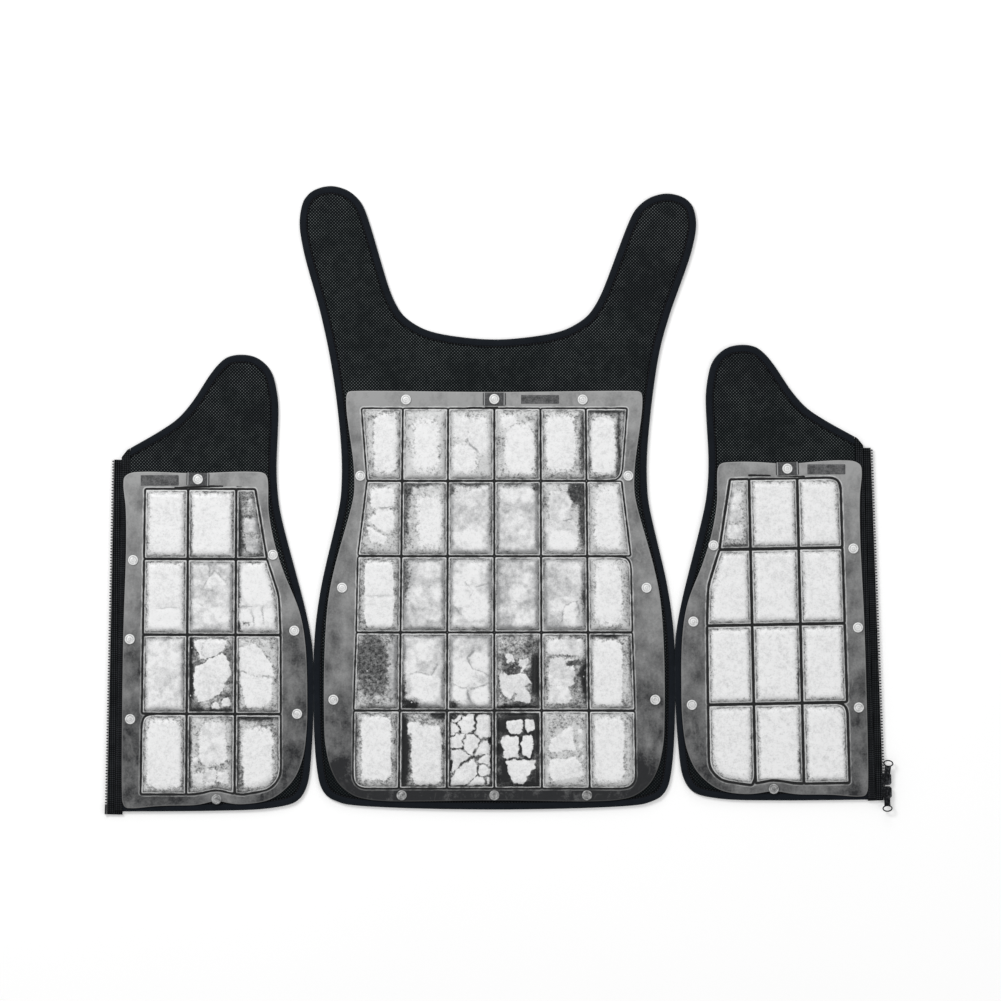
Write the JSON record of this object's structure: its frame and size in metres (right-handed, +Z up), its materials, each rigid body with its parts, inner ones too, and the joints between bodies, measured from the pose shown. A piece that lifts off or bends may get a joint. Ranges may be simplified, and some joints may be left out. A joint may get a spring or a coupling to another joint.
{
  "type": "cooling vest",
  "caption": "Cooling work vest laid open: padded mesh back panel with shoulder straps, two zip fronts, and frozen ice sheets held by press studs.",
  "frame": {"origin": "middle of the opened vest's footprint, on the surface that it lies on", "axes": "+X across the opened vest towards the front that carries the zip sliders, +Y from the hem to the shoulder straps, +Z up through the ice sheets"},
  "size_m": [0.9458, 0.754, 0.0153],
  "materials": {
    "mesh_fabric": "near-black air mesh with a fine diamond pattern",
    "binding": "smooth near-black edge tape with a stitch line",
    "ice_film": "clear film over white ice, glossy and slightly wavy",
    "press_stud": "translucent white moulded plastic",
    "stud_tab": "dark woven tab",
    "zip_tape": "black woven tape",
    "zip_teeth": "black moulded plastic",
    "zip_metal": "black painted metal, worn brighter on the edges"
  },
  "bodies": {
    "vest": {"back_shell": "mesh_fabric", "back_binding": "binding", "back_ice_sheet": "ice_film", "back_snap_tab": "stud_tab", "back_snap_01": "press_stud", "back_snap_02": "press_stud", "back_snap_03": "press_stud", "back_snap_04": "press_stud", "back_snap_05": "press_stud", "back_snap_06": "press_stud", "back_snap_07": "press_stud", "back_snap_08": "press_stud", "back_snap_09": "press_stud", "back_snap_10": "press_stud", "back_snap_11": "press_stud", "back_snap_12": "press_stud", "left_shell": "mesh_fabric", "left_binding": "binding", "left_zip_facing": "binding", "left_ice_sheet": "ice_film", "left_snap_tab": "stud_tab", "left_snap_01": "press_stud", "left_snap_02": "press_stud", "left_snap_03": "press_stud", "left_snap_04": "press_stud", "left_snap_05": "press_stud", "left_snap_06": "press_stud", "left_snap_07": "press_stud", "left_snap_08": "press_stud", "left_zip_tape": "zip_tape", "left_zip_teeth": "zip_teeth", "left_zip_pin": "zip_teeth", "right_shell": "mesh_fabric", "right_binding": "binding", "right_zip_facing": "binding", "right_ice_sheet": "ice_film", "right_snap_tab": "stud_tab", "right_snap_01": "press_stud", "right_snap_02": "press_stud", "right_snap_03": "press_stud", "right_snap_04": "press_stud", "right_snap_05": "press_stud", "right_snap_06": "press_stud", "right_snap_07": "press_stud", "right_snap_08": "press_stud", "right_zip_tape": "zip_tape", "right_zip_teeth": "zip_teeth", "right_zip_pin": "zip_teeth"},
    "lower_slider": {"lower_slider": "zip_metal"},
    "lower_pull": {"lower_pull": "zip_metal"},
    "upper_slider": {"upper_slider": "zip_metal"},
    "upper_pull": {"upper_pull": "zip_metal"}
  },
  "joints": [
    {"name": "upper_slider_slide", "type": "slide", "parent": "vest", "child": "upper_slider", "axis": [-0.0366, 0.9993, 0], "range_m": [0, 0.382]},
    {"name": "lower_slider_slide", "type": "slide", "parent": "vest", "child": "lower_slider", "axis": [-0.0366, 0.9993, 0], "range_m": [0, 0.0015]},
    {"name": "upper_pull_hinge", "type": "hinge", "parent": "upper_slider", "child": "upper_pull", "pos_m": [0.46457, -0.33434, 0.00705], "axis": [0.9928, -0.1201, 0], "range_deg": [0, 100]},
    {"name": "lower_pull_hinge", "type": "hinge", "parent": "lower_slider", "child": "lower_pull", "pos_m": [0.46515, -0.35013, 0.00705], "axis": [-0.9993, -0.0366, 0], "range_deg": [0, 100]}
  ]
}
